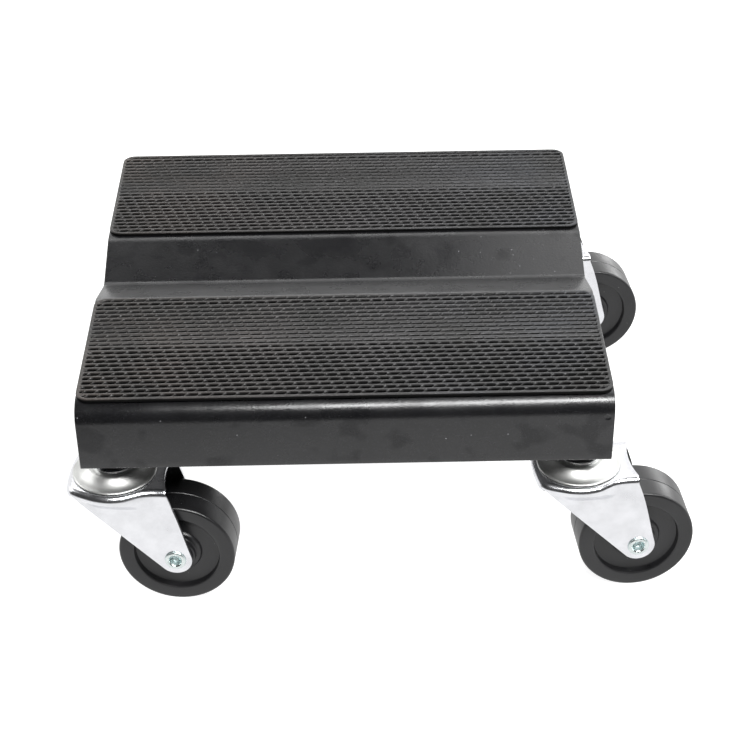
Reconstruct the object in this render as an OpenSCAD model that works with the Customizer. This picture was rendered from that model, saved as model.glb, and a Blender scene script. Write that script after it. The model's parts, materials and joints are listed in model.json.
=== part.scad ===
// Wheel dolly: a square pressed-steel deck with a shallow V cradle across its middle,
// two rubber pads, and a swivel caster under each corner.
//
// Frame: +Z up, +X to the right along the V cradle, +Y to the rear.
// Origin: on the floor, under the middle of the whole object's bounding box.
// All lengths are in millimetres and all angles in degrees.

/* [Deck] */
// Width of the deck along the cradle
deck_w = 275; // [240:1:320]
// Depth of the deck across the cradle
deck_d = 275; // [250:1:320]
// Height of the steel plateaus above the floor
deck_h = 134.4; // [130:0.1:150]
// Sheet thickness of the deck
sheet_t = 3; // [2:0.5:4]
// Height of the front and rear skirts, from the plateau down
skirt_h = 38.5; // [30:0.5:42]
// Outside radius of the front and rear bends
skirt_bend_r = 11; // [6:0.5:13]

/* [Cradle] */
// Half width of the V, from its bottom line to the edge of a plateau
cradle_half_w = 33; // [25:1:45]
// Depth of the V below the plateaus, to where its two slopes would meet
cradle_depth = 11.4; // [6:0.2:14]
// Outside radius of the bends at the top of the slopes
cradle_edge_r = 20; // [6:1:24]
// Inside radius of the bend at the bottom of the V
cradle_valley_r = 8; // [6:1:16]

/* [Pads] */
// Thickness of the rubber pads
pad_t = 2; // [1.5:0.5:4]
// Width of a pad along the cradle
pad_w = 274.5; // [200:0.5:300]
// Depth of a pad across the cradle
pad_d = 96.6; // [70:0.1:100]
// Distance from the front face of the deck to the edge of its pad
pad_inset = 5.2; // [4:0.1:12]
// Corner radius of a pad
pad_corner_r = 7; // [3:0.5:15]

/* [Rails] */
// Thickness of the angle rails that carry the casters
rail_t = 3; // [2:0.5:4]
// Width of a rail's flat leg
rail_leg_w = 41; // [36:1:50]
// Distance from the end of the deck to a rail's outer edge
rail_inset = 1; // [0.5:0.5:4]
// Height of a rail's lower face above the skirt's bottom edge
rail_lift = 0.5; // [0.5:0.5:4]

/* [Casters] */
// Distance from the deck's left or right end to a kingpin
kingpin_inset_x = 13.8; // [12:0.1:22]
// Distance from the deck's front or rear face to a kingpin
kingpin_inset_y = 23.4; // [20:0.1:40]
// Distance from the kingpin back to the axle
trail = 31.8; // [26:0.1:34]
// Diameter of a wheel
wheel_dia = 63; // [58:0.5:66]
// Width of a wheel's tread
wheel_w = 27; // [22:0.5:29]
// Thickness of the fork's sheet
fork_t = 2.1; // [1.5:0.1:2.5]
// Distance from the wheel's middle plane to the outer face of a fork leg
fork_half_w = 18.3; // [17.5:0.1:20]
// Height of the fork's top face above the floor
fork_top = 77.2; // [73:0.1:79]
// Radius of the fork's round crown
crown_r = 25; // [23:0.5:27]
// Radius of the raceway cup above the crown
cup_r = 22.4; // [21:0.1:23]
// Turn of the front left caster from straight back, towards the rear
turn_front_left = -4.1; // [-12:0.1:12]
// Turn of the front right caster
turn_front_right = 4.4; // [-12:0.1:12]
// Turn of the rear left caster
turn_rear_left = -2; // [-12:0.1:12]
// Turn of the rear right caster
turn_rear_right = 5.4; // [-12:0.1:12]

/* [Hidden] */
$fn = 96;

// a small overlap that makes cuts pass right through a face
cut = 1;

// --- wheel and axle
wheel_r = wheel_dia / 2;
tread_edge_r = 1.6;                 // rounding between the tread and a side face
tread_flat = wheel_w / 2 - tread_edge_r;
parting_depth = 0.3;                // fine moulding groove round the middle of the tread
ring_inner_r = 23.5;                // inside of the raised outer ring
ring_slope = 0.6;
web_half_t = 9.8;                   // half thickness of the disc inside the ring
boss_r = 13;                        // the low step round the hub
boss_half_l = 11.4;
hub_r = 10;                         // flat end of the hub
hub_half_l = 14.8;
bush_r = 6;                         // outside of the pressed-in bush
bush_half_l = 15.2;
axle_r = 4;
axle_fit = 0.06;                    // running clearance of the bush on the axle
rivet_flange_r = 5.75;
rivet_flange_t = 1.2;
rivet_round = 0.6;
rivet_mouth_r = 3.7;                // the mouth of the cup in each end of the axle
rivet_cup_r = 3;
rivet_cup_depth = 4;
thrust_r = 8;
thrust_t = 0.9;

// --- fork
fork_bend_r = 3.2;                  // outside radius of the bend from top plate to leg
leg_tip_r = 9;                      // round end of a leg, about the axle
leg_lead_x = -24.2;                 // where a leg's leading edge meets the top plate
leg_trail_x = 29.4;                 // the same for its trailing edge
fork_nose_r = 28;                   // rounds the leading corners of the top plate
tail_hollow_r = 100;                // shallow hollow in the top plate's trailing edge
tail_hollow_depth = 1.7;
crown_lip_h = 4;                    // how far the crown's rim turns down
crown_rim_r = 3;
kingpin_r = 4;
kingpin_fit = 0.05;                 // running clearance of the fork on the kingpin

// --- ball races, about the kingpin
upper_ball_r = 2;
upper_race_r = 16.5;
upper_ball_z = fork_top + 1;
upper_ball_count = 24;
lower_ball_r = 1.6;
lower_race_r = 9.5;
lower_ball_z = fork_top - 3;
lower_ball_count = 16;
race_gap = 0.05;                    // groove radius less ball radius, on the fork
race_clear = 0.3;                   // space between the balls and the fixed cups
race_emboss_t = 1.8;                // metal left under the upper groove

// --- cups
cup_t = 1.4;
cup_gap = 0.4;                      // from the fork's top face to the cup's rim
cup_top = fork_top + 6;
cup_shoulder_r = 15.5;
cup_flat_r = 13.5;
cup_shoulder_drop = 0.4;
cup_rim_h = 0.9;
lower_cup_r = 13.2;
lower_cup_floor = lower_ball_z - lower_ball_r - race_clear;
lower_cup_rim = fork_top - 3.1;
pin_head_r = 6.5;
pin_head_h = 2.4;

// --- threaded stem and what is on it
stem_r = 6;
stem_shoulder_r = 8;
stem_shoulder_h = 1.8;
stem_chamfer = 1;
rail_z = deck_h - skirt_h + rail_lift;
washer_r = 11.5;
washer_hole_r = 6.25;
washer_t = 1.5;
nut_across_flats = 19;
nut_h = 10.8;
nut_chamfer_w = 1.2;
nut_chamfer_h = 0.7;
lock_washer_r = 10.5;
lock_washer_t = 2.5;
lock_washer_slit = 1.5;
stem_past_nut = 2.7;
stem_hole_r = 6.5;
lock_z = rail_z + rail_t;
nut_z = lock_z + lock_washer_t;
stem_top = nut_z + nut_h + stem_past_nut;

// --- deck
skirt_bottom = deck_h - skirt_h;
slope = atan(cradle_depth / cradle_half_w);
bend_steps = 16;                    // flats that stand for a quarter turn of a bend
slope_steps = 8;

// --- corners: side along X, side along Y and turn of each caster
kingpin_x = deck_w / 2 - kingpin_inset_x;
kingpin_y = deck_d / 2 - kingpin_inset_y;
front_left = [-1, -1, turn_front_left];
front_right = [1, -1, turn_front_right];
rear_left = [-1, 1, turn_rear_left];
rear_right = [1, 1, turn_rear_right];
corners = [front_left, front_right, rear_left, rear_right];

// The deck's middle lies left of the origin, because the casters trail to the right.
function wheel_reach(corner) =
    kingpin_x + (trail + wheel_r) * cos(corner[2]) + tread_flat * abs(sin(corner[2]));
reach_right = max(wheel_reach(front_right), wheel_reach(rear_right));
reach_left = max(kingpin_x + crown_r, deck_w / 2);
deck_x = (reach_left - reach_right) / 2;

// ---------------------------------------------------------------- helpers

// Points of an arc about [across, up], from angle a0 to a1.
function arc(across, up, r, a0, a1, steps) =
    [for (i = [0 : steps]) let (a = a0 + (a1 - a0) * i / steps) [across + r * cos(a), up + r * sin(a)]];

function reversed(points) = [for (i = [len(points) - 1 : -1 : 0]) points[i]];

// The point where a line from p touches a circle, on the side given by +1 or -1.
function touch(p, centre, r, side) =
    let (v = p - centre, base = atan2(v[1], v[0]), open = acos(r / norm(v)))
    centre + r * [cos(base + side * open), sin(base + side * open)];

// One line of the bent sheet, a given depth below its upper face, front to rear.
function sheet_line(below) =
    let (
        skirt_r = skirt_bend_r - below,
        edge_r = cradle_edge_r - below,
        valley_r = cradle_valley_r + below,
        skirt_y = deck_d / 2 - skirt_bend_r,
        edge_y = cradle_half_w + cradle_edge_r * tan(slope / 2),
        skirt_z = deck_h - skirt_bend_r,
        edge_z = deck_h - cradle_edge_r,
        valley_z = deck_h - cradle_depth + cradle_valley_r / cos(slope)
    )
    concat(
        [[-deck_d / 2 + below, skirt_bottom]],
        arc(-skirt_y, skirt_z, skirt_r, 180, 90, bend_steps),
        arc(-edge_y, edge_z, edge_r, 90, 90 - slope, slope_steps),
        arc(0, valley_z, valley_r, 270 - slope, 270 + slope, 2 * slope_steps),
        arc(edge_y, edge_z, edge_r, 90 + slope, 90, slope_steps),
        arc(skirt_y, skirt_z, skirt_r, 90, 0, bend_steps),
        [[deck_d / 2 - below, skirt_bottom]]
    );

// Sweeps an outline drawn in Y and Z along X, centred on the deck.
module along_x(length) {
    translate([deck_x - length / 2, 0, 0]) rotate([90, 0, 90]) linear_extrude(length) children();
}

// Puts a caster part, drawn about its kingpin and trailing to +X, under its corner.
module at_corner(corner) {
    place = [deck_x + corner[0] * kingpin_x, corner[1] * kingpin_y, 0];
    translate(place) rotate([0, 0, corner[2]]) children();
}

// The same for parts drawn round the axle, whose outline has length along the axle.
module at_axle(corner) {
    at_corner(corner) translate([trail, 0, wheel_r]) rotate([90, 0, 0]) children();
}

module ring(outer_r, inner_r, height) {
    difference() {
        cylinder(r = outer_r, h = height);
        translate([0, 0, -cut]) cylinder(r = inner_r, h = height + 2 * cut);
    }
}

module hex_nut(height) {
    corner_r = nut_across_flats / 2 / cos(30);
    difference() {
        intersection() {
            cylinder(r = corner_r, h = height, $fn = 6);
            rotate_extrude() polygon([
                [0, 0], [corner_r - nut_chamfer_w, 0], [corner_r, nut_chamfer_h],
                [corner_r, height - nut_chamfer_h], [corner_r - nut_chamfer_w, height], [0, height]
            ]);
        }
        translate([0, 0, -cut]) cylinder(r = stem_r, h = height + 2 * cut);
    }
}

// A ring of balls.
module balls(race_r, z, ball_r, count) {
    for (i = [0 : count - 1]) rotate([0, 0, 360 * i / count]) translate([race_r, 0, z]) sphere(r = ball_r);
}

// A round groove that a ball of this race runs in.
module race_groove(race_r, z, groove_r) {
    rotate_extrude() translate([race_r, z]) circle(r = groove_r);
}

// ---------------------------------------------------------------- deck

module deck_plate() {
    color([0.07, 0.07, 0.075])
    along_x(deck_w) polygon(concat(sheet_line(0), reversed(sheet_line(sheet_t))));
}

// A pad; side is -1 at the front and 1 at the rear.
module pad(side) {
    inner_x = pad_w / 2 - pad_corner_r;
    inner_y = pad_d / 2 - pad_corner_r;
    middle_y = side * (deck_d / 2 - pad_inset - pad_d / 2);
    color([0.06, 0.06, 0.06])
    translate([deck_x, middle_y, deck_h]) union() {
        translate([-pad_w / 2, -inner_y, 0]) cube([pad_w, 2 * inner_y, pad_t]);
        translate([-inner_x, -pad_d / 2, 0]) cube([2 * inner_x, pad_d, pad_t]);
        for (x = [-inner_x, inner_x], y = [-inner_y, inner_y])
            translate([x, y, 0]) cylinder(r = pad_corner_r, h = pad_t);
    }
}

// An angle rail under one end of the deck; side is -1 at the left and 1 at the right.
module rail(side) {
    inside_y = deck_d / 2 - sheet_t;
    inside_z = deck_h - sheet_t;
    outer_x = deck_w / 2 - rail_inset;
    corner_cut = skirt_bend_r - sheet_t;
    notch_half_w = cradle_half_w + cradle_edge_r * tan(slope / 2) + 2;
    notch_z = deck_h - cradle_depth - sheet_t - 1;
    web_x = side > 0 ? outer_x - rail_leg_w : -outer_x + rail_leg_w - rail_t;
    leg_x = side > 0 ? outer_x - rail_leg_w : -outer_x;
    color([0.08, 0.08, 0.085])
    translate([deck_x, 0, 0]) difference() {
        union() {
            translate([leg_x, -inside_y, rail_z]) cube([rail_leg_w, 2 * inside_y, rail_t]);
            translate([web_x, 0, 0]) rotate([90, 0, 90]) linear_extrude(rail_t) polygon([
                [-inside_y, rail_z], [inside_y, rail_z],
                [inside_y, inside_z - corner_cut], [inside_y - corner_cut, inside_z],
                [notch_half_w, inside_z], [cradle_valley_r / 2, notch_z],
                [-cradle_valley_r / 2, notch_z], [-notch_half_w, inside_z],
                [-inside_y + corner_cut, inside_z], [-inside_y, inside_z - corner_cut]
            ]);
        }
        for (y = [-kingpin_y, kingpin_y])
            translate([side * kingpin_x, y, rail_z - cut]) cylinder(r = stem_hole_r, h = rail_t + 2 * cut);
    }
}

// ---------------------------------------------------------------- caster, fixed parts

module stem(corner) {
    color([0.75, 0.76, 0.76])
    at_corner(corner) rotate_extrude() polygon([
        [0, lower_cup_floor - cup_t - pin_head_h],
        [pin_head_r - 1.5, lower_cup_floor - cup_t - pin_head_h],
        [pin_head_r, lower_cup_floor - cup_t - pin_head_h / 2],
        [pin_head_r, lower_cup_floor - cup_t],
        [kingpin_r, lower_cup_floor - cup_t],
        [kingpin_r, cup_top - cup_t - stem_shoulder_h],
        [stem_shoulder_r, cup_top - cup_t - stem_shoulder_h],
        [stem_shoulder_r, cup_top - cup_t],
        [stem_r, cup_top - cup_t],
        [stem_r, stem_top - stem_chamfer],
        [stem_r - stem_chamfer, stem_top],
        [0, stem_top]
    ]);
}

module upper_cup(corner) {
    rim_z = fork_top + cup_gap;
    color([0.82, 0.83, 0.82])
    at_corner(corner) difference() {
        rotate_extrude() polygon([
            [stem_r, cup_top],
            [cup_flat_r, cup_top],
            [cup_shoulder_r, cup_top - cup_shoulder_drop],
            [cup_r - cup_rim_h, rim_z + cup_rim_h],
            [cup_r, rim_z + cup_rim_h / 2],
            [cup_r, rim_z],
            [cup_r - cup_rim_h - cup_t, rim_z],
            [cup_shoulder_r - cup_t / 2, cup_top - cup_t - cup_shoulder_drop],
            [cup_flat_r - cup_t / 2, cup_top - cup_t],
            [stem_r, cup_top - cup_t]
        ]);
        race_groove(upper_race_r, upper_ball_z, upper_ball_r + race_clear);
    }
}

module lower_cup(corner) {
    color([0.78, 0.79, 0.78])
    at_corner(corner) difference() {
        rotate_extrude() polygon([
            [kingpin_r, lower_cup_floor - cup_t],
            [lower_cup_r - 1, lower_cup_floor - cup_t],
            [lower_cup_r, lower_cup_floor - cup_t + 1],
            [lower_cup_r, lower_cup_rim],
            [lower_cup_r - cup_t, lower_cup_rim],
            [lower_cup_r - cup_t, lower_cup_floor],
            [kingpin_r, lower_cup_floor]
        ]);
        race_groove(lower_race_r, lower_ball_z, lower_ball_r + race_clear);
    }
}

module spacer_washers() {
    color([0.55, 0.55, 0.56])
    for (corner = corners)
        at_corner(corner) translate([0, 0, cup_top]) ring(washer_r, washer_hole_r, washer_t);
}

module spacer_nuts() {
    color([0.3, 0.3, 0.31])
    for (corner = corners)
        at_corner(corner) translate([0, 0, cup_top + washer_t]) hex_nut(rail_z - cup_top - washer_t);
}

module lock_washers() {
    color([0.55, 0.55, 0.56])
    for (corner = corners) at_corner(corner) translate([0, 0, lock_z]) difference() {
        ring(lock_washer_r, washer_hole_r, lock_washer_t);
        translate([0, -lock_washer_slit / 2, -cut])
            cube([lock_washer_r + cut, lock_washer_slit, lock_washer_t + 2 * cut]);
    }
}

module stem_nuts() {
    color([0.75, 0.76, 0.76])
    for (corner = corners) at_corner(corner) translate([0, 0, nut_z]) hex_nut(nut_h);
}

// ---------------------------------------------------------------- caster, swivelling parts

module upper_balls(corner) {
    color([0.7, 0.7, 0.72])
    at_corner(corner) balls(upper_race_r, upper_ball_z, upper_ball_r, upper_ball_count);
}

module lower_balls(corner) {
    color([0.7, 0.7, 0.72])
    at_corner(corner) balls(lower_race_r, lower_ball_z, lower_ball_r, lower_ball_count);
}

// An upside-down channel along X with rounded upper corners.
module channel(half_w, top, corner_r) {
    length = leg_trail_x - leg_lead_x + 2 * leg_tip_r;
    height = fork_top + leg_tip_r;
    translate([leg_lead_x, 0, 0]) union() {
        translate([0, -half_w, top - height]) cube([length, 2 * half_w, height - corner_r]);
        translate([0, -half_w + corner_r, top - height]) cube([length, 2 * (half_w - corner_r), height]);
        for (y = [-half_w + corner_r, half_w - corner_r])
            translate([0, y, top - corner_r]) rotate([0, 90, 0]) cylinder(r = corner_r, h = length);
    }
}

// The side view of the fork: a wide top that narrows to a round tip about the axle.
module leg_outline() {
    axle = [trail, wheel_r];
    lead = [leg_lead_x, fork_top];
    tail = [leg_trail_x, fork_top - fork_bend_r];
    union() {
        polygon([
            [leg_lead_x, fork_top + cut], lead,
            touch(lead, axle, leg_tip_r, 1), axle, touch(tail, axle, leg_tip_r, -1),
            tail, [leg_trail_x, fork_top + cut]
        ]);
        translate(axle) circle(r = leg_tip_r);
    }
}

// The round crown: a shallow dish whose rim turns down.
module crown() {
    rotate_extrude() difference() {
        union() {
            translate([0, fork_top - crown_lip_h]) square([crown_r, crown_lip_h - crown_rim_r]);
            translate([0, fork_top - crown_lip_h]) square([crown_r - crown_rim_r, crown_lip_h]);
            translate([crown_r - crown_rim_r, fork_top - crown_rim_r]) circle(r = crown_rim_r);
        }
        translate([0, fork_top - crown_lip_h - cut]) square([crown_r - fork_t, crown_lip_h + cut - fork_t]);
        translate([-cut - crown_r, 0]) square([crown_r + cut, fork_top + cut]);
    }
}

module fork(corner) {
    tail_centre = leg_trail_x - tail_hollow_depth + tail_hollow_r;
    color([0.86, 0.87, 0.87])
    at_corner(corner) difference() {
        union() {
            intersection() {
                difference() {
                    channel(fork_half_w, fork_top, fork_bend_r);
                    translate([-cut, 0, 0])
                        channel(fork_half_w - fork_t, fork_top - fork_t, fork_bend_r - fork_t);
                }
                union() {
                    cylinder(r = fork_nose_r, h = fork_top);
                    translate([0, -fork_half_w - cut, 0])
                        cube([leg_trail_x + 2 * leg_tip_r, 2 * (fork_half_w + cut), fork_top]);
                }
                translate([0, fork_half_w + cut, 0]) rotate([90, 0, 0])
                    linear_extrude(2 * (fork_half_w + cut)) leg_outline();
            }
            crown();
            rotate_extrude() intersection() {
                translate([upper_race_r, upper_ball_z]) circle(r = upper_ball_r + race_gap + race_emboss_t);
                square([crown_r, fork_top - fork_t / 2]);
            }
        }
        translate([tail_centre, 0, fork_top - fork_bend_r])
            cylinder(r = tail_hollow_r, h = fork_bend_r + cut, $fn = 360);
        race_groove(upper_race_r, upper_ball_z, upper_ball_r + race_gap);
        race_groove(lower_race_r, lower_ball_z, lower_ball_r + race_gap);
        translate([0, 0, fork_top - 2 * fork_t]) cylinder(r = kingpin_r + kingpin_fit, h = 3 * fork_t);
        translate([trail, fork_half_w + cut, wheel_r]) rotate([90, 0, 0])
            cylinder(r = axle_r, h = 2 * (fork_half_w + cut));
    }
}

module axle_rivet(corner) {
    end = fork_half_w + rivet_flange_t;
    color([0.85, 0.86, 0.86])
    at_axle(corner) rotate_extrude() polygon([
        [0, -end + rivet_cup_depth], [rivet_cup_r, -end + rivet_cup_depth],
        [rivet_mouth_r, -end], [rivet_flange_r - rivet_round, -end],
        [rivet_flange_r, -end + rivet_round], [rivet_flange_r, -fork_half_w],
        [axle_r, -fork_half_w], [axle_r, fork_half_w],
        [rivet_flange_r, fork_half_w], [rivet_flange_r, end - rivet_round],
        [rivet_flange_r - rivet_round, end], [rivet_mouth_r, end],
        [rivet_cup_r, end - rivet_cup_depth], [0, end - rivet_cup_depth]
    ]);
}

module thrust_washers(corner) {
    inside = fork_half_w - fork_t;
    color([0.7, 0.7, 0.7])
    at_axle(corner) for (start = [-inside, inside - thrust_t])
        translate([0, 0, start]) ring(thrust_r, axle_r, thrust_t);
}

// ---------------------------------------------------------------- wheel

// Half of the wheel's outline, from the bore out to the middle of the tread.
function half_wheel() = concat(
    [
        [bush_r, hub_half_l], [hub_r, hub_half_l],
        [hub_r, boss_half_l], [boss_r, boss_half_l], [boss_r, web_half_t],
        [ring_inner_r - ring_slope, web_half_t], [ring_inner_r, wheel_w / 2]
    ],
    arc(wheel_r - tread_edge_r, tread_flat, tread_edge_r, 90, 0, bend_steps),
    [[wheel_r, parting_depth], [wheel_r - parting_depth, 0]]
);

module wheel(corner) {
    upper = half_wheel();
    lower = [for (p = reversed(upper)) [p[0], -p[1]]];
    color([0.06, 0.06, 0.065])
    at_axle(corner) rotate_extrude() polygon(concat(upper, lower));
}

module wheel_bush(corner) {
    color([0.6, 0.6, 0.6])
    at_axle(corner) translate([0, 0, -bush_half_l]) ring(bush_r, axle_r + axle_fit, 2 * bush_half_l);
}

// ---------------------------------------------------------------- nodes

deck_plate();
pad(-1);  // pad_front
pad(1);  // pad_rear
rail(-1);  // rail_left
rail(1);  // rail_right
spacer_washers();
spacer_nuts();
lock_washers();
stem_nuts();
stem(front_left);  // stem_front_left
stem(front_right);  // stem_front_right
stem(rear_left);  // stem_rear_left
stem(rear_right);  // stem_rear_right
upper_cup(front_left);  // upper_cup_front_left
upper_cup(front_right);  // upper_cup_front_right
upper_cup(rear_left);  // upper_cup_rear_left
upper_cup(rear_right);  // upper_cup_rear_right
lower_cup(front_left);  // lower_cup_front_left
lower_cup(front_right);  // lower_cup_front_right
lower_cup(rear_left);  // lower_cup_rear_left
lower_cup(rear_right);  // lower_cup_rear_right
upper_balls(front_left);  // upper_balls_front_left
upper_balls(front_right);  // upper_balls_front_right
upper_balls(rear_left);  // upper_balls_rear_left
upper_balls(rear_right);  // upper_balls_rear_right
lower_balls(front_left);  // lower_balls_front_left
lower_balls(front_right);  // lower_balls_front_right
lower_balls(rear_left);  // lower_balls_rear_left
lower_balls(rear_right);  // lower_balls_rear_right
fork(front_left);  // fork_front_left
fork(front_right);  // fork_front_right
fork(rear_left);  // fork_rear_left
fork(rear_right);  // fork_rear_right
axle_rivet(front_left);  // axle_rivet_front_left
axle_rivet(front_right);  // axle_rivet_front_right
axle_rivet(rear_left);  // axle_rivet_rear_left
axle_rivet(rear_right);  // axle_rivet_rear_right
thrust_washers(front_left);  // thrust_washers_front_left
thrust_washers(front_right);  // thrust_washers_front_right
thrust_washers(rear_left);  // thrust_washers_rear_left
thrust_washers(rear_right);  // thrust_washers_rear_right
wheel(front_left);  // wheel_front_left
wheel(front_right);  // wheel_front_right
wheel(rear_left);  // wheel_rear_left
wheel(rear_right);  // wheel_rear_right
wheel_bush(front_left);  // wheel_bush_front_left
wheel_bush(front_right);  // wheel_bush_front_right
wheel_bush(rear_left);  // wheel_bush_rear_left
wheel_bush(rear_right);  // wheel_bush_rear_right
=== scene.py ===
# %% [markdown]
# # A wheel dolly, finished in Blender
# The dolly is a bent steel deck with a V cradle, two rubber pads and four swivel casters. Its sizes
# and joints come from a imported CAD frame. This file only adds what the eye sees: moulded rubber,
# powder coat, bright zinc, and the small marks that making and use leave.
# Every length is in metres, in the frame's own axes: +Z up, +X along the V, +Y to the rear.

import json
import math

import bmesh
import bpy
from mathutils import Matrix, Vector


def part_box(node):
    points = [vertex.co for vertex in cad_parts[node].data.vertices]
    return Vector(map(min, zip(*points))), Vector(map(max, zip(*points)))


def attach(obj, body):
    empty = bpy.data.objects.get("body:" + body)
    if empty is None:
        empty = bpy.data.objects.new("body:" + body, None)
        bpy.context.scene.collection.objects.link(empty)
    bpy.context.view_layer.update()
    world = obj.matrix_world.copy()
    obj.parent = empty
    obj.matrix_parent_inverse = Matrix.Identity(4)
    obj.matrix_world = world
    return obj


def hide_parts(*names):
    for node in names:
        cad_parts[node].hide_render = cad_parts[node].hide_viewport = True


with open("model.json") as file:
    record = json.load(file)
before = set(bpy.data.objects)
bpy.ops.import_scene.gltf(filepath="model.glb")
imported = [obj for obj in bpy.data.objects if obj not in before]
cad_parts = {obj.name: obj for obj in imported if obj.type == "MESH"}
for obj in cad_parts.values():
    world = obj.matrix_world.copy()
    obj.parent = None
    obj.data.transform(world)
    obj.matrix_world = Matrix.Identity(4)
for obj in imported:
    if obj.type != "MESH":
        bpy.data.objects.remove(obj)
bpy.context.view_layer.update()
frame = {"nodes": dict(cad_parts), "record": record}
nodes = frame["nodes"]
MM = 0.001

# %% [markdown]
# ## The camera
# A product shot of a low object is taken with a long lens from a little above, so that its lines
# stay nearly parallel. The camera is placed first, because everything after it is judged
# through it. Its turns are a yaw of half a degree, a dip of about 34 degrees, and a little roll.

# %% Camera
LENS_MM, SENSOR_MM = 87.1, 36
EYE = Vector((-0.01125, -0.8855, 0.6652))
YAW, DIP, ROLL = (math.radians(a) for a in (0.54, 34.46, 0.72))


def look(yaw, dip, roll):
    """A camera's turn, from its heading, its dip below the horizon and its roll."""
    forward = Vector((math.sin(yaw) * math.cos(dip), math.cos(yaw) * math.cos(dip), -math.sin(dip)))
    level = Vector((math.cos(yaw), -math.sin(yaw), 0))
    down = forward.cross(level)
    right = level * math.cos(roll) + down * math.sin(roll)
    up = level * math.sin(roll) - down * math.cos(roll)
    return Matrix((right, up, -forward)).transposed()


camera_data = bpy.data.cameras.new("camera")
camera_data.lens = LENS_MM
camera_data.sensor_width = SENSOR_MM
camera = bpy.data.objects.new("camera", camera_data)
camera.matrix_world = Matrix.Translation(EYE) @ look(YAW, DIP, ROLL).to_4x4()
bpy.context.scene.collection.objects.link(camera)
bpy.context.scene.camera = camera
bpy.context.scene.view_settings.view_transform = "Standard"
print("camera", [round(c, 3) for c in EYE])

# %% [markdown]
# ## Floor and light
# Black paint and bright zinc show little of their own colour: they show what they reflect. So the
# light is laid out as in a small studio. A white floor and a white sweep behind give the plateaus
# their grey, and a soft box high in front draws the bright line along the front bend. The side
# the camera stands on is kept dark, which makes the band under that line black: the floor fades
# there, as under a slanted flag, but only in what shiny pieces reflect. Strips at the rear and
# boxes at the sides put an edge of light on the wheels and the zinc. The floor is clear from
# below, so that the underside can be looked at too.

# %% Floor, world and lamps
FLOOR_SIZE, FLOOR_GREY, FLOOR_GLOW = 6, 0.45, 0.92
FLAG_SLANT = 0.35
FLAG_EDGE = (-0.56, -0.30)
FLAG_GLOW = (0.02, 1.12)
RAMP = ("From Min", "From Max", "To Min", "To Max")


def lamp(name, place, aim, size, power, shape_y=None):
    """A soft box that faces its aim; its sides are in metres and its power in watts."""
    data = bpy.data.lights.new(name, "AREA")
    data.shape = "RECTANGLE"
    data.size = size
    data.size_y = shape_y or size
    data.energy = power
    obj = bpy.data.objects.new(name, data)
    obj.location = place
    obj.rotation_euler = (Vector(aim) - Vector(place)).to_track_quat("-Z", "Y").to_euler()
    obj.visible_camera = False
    bpy.context.scene.collection.objects.link(obj)
    return obj


def floor():
    """White paper that glows, reflects as faded near the camera, and is clear from below."""
    mesh = bmesh.new()
    bmesh.ops.create_grid(mesh, x_segments=1, y_segments=1, size=FLOOR_SIZE)
    data = bpy.data.meshes.new("floor")
    mesh.to_mesh(data)
    mesh.free()
    obj = bpy.data.objects.new("floor", data)
    bpy.context.scene.collection.objects.link(obj)
    paper = bpy.data.materials.new("floor_paper")
    paper.use_nodes = True
    tree = paper.node_tree
    new, link = tree.nodes.new, tree.links.new
    shader = tree.nodes["Principled BSDF"]
    shader.inputs["Base Color"].default_value = (FLOOR_GREY, FLOOR_GREY, FLOOR_GREY, 1)
    shader.inputs["Roughness"].default_value = 0.9
    shader.inputs["Specular IOR Level"].default_value = 0.1
    shader.inputs["Emission Color"].default_value = (1, 1, 1, 1)
    shader.inputs["Emission Strength"].default_value = FLOOR_GLOW
    where, parts = new("ShaderNodeTexCoord"), new("ShaderNodeSeparateXYZ")
    link(where.outputs["Object"], parts.inputs[0])
    slant, ahead, fade = new("ShaderNodeMath"), new("ShaderNodeMath"), new("ShaderNodeMapRange")
    slant.operation, slant.inputs[1].default_value = "MULTIPLY", FLAG_SLANT
    link(parts.outputs["X"], slant.inputs[0])
    link(parts.outputs["Y"], ahead.inputs[0])
    link(slant.outputs[0], ahead.inputs[1])
    fade.interpolation_type = "SMOOTHSTEP"
    for name, value in zip(RAMP, (*FLAG_EDGE, *FLAG_GLOW)):
        fade.inputs[name].default_value = value
    link(ahead.outputs[0], fade.inputs["Value"])
    glow, mix, path = new("ShaderNodeEmission"), new("ShaderNodeMixShader"), new("ShaderNodeLightPath")
    link(fade.outputs[0], glow.inputs["Strength"])
    link(path.outputs["Is Glossy Ray"], mix.inputs[0])
    link(shader.outputs[0], mix.inputs[1])
    link(glow.outputs[0], mix.inputs[2])
    below, clear = new("ShaderNodeNewGeometry"), new("ShaderNodeBsdfTransparent")
    one_sided = new("ShaderNodeMixShader")
    link(below.outputs["Backfacing"], one_sided.inputs[0])
    link(mix.outputs[0], one_sided.inputs[1])
    link(clear.outputs[0], one_sided.inputs[2])
    link(one_sided.outputs[0], tree.nodes["Material Output"].inputs["Surface"])
    data.materials.append(paper)


WORLD_REAR = (-0.15, 0.3, 0, 1)
WORLD_HIGH = (0.68, 0.86, 1, 0.03)
WORLD_STRENGTH = (0, 1, 0.035, 1.05)


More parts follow.
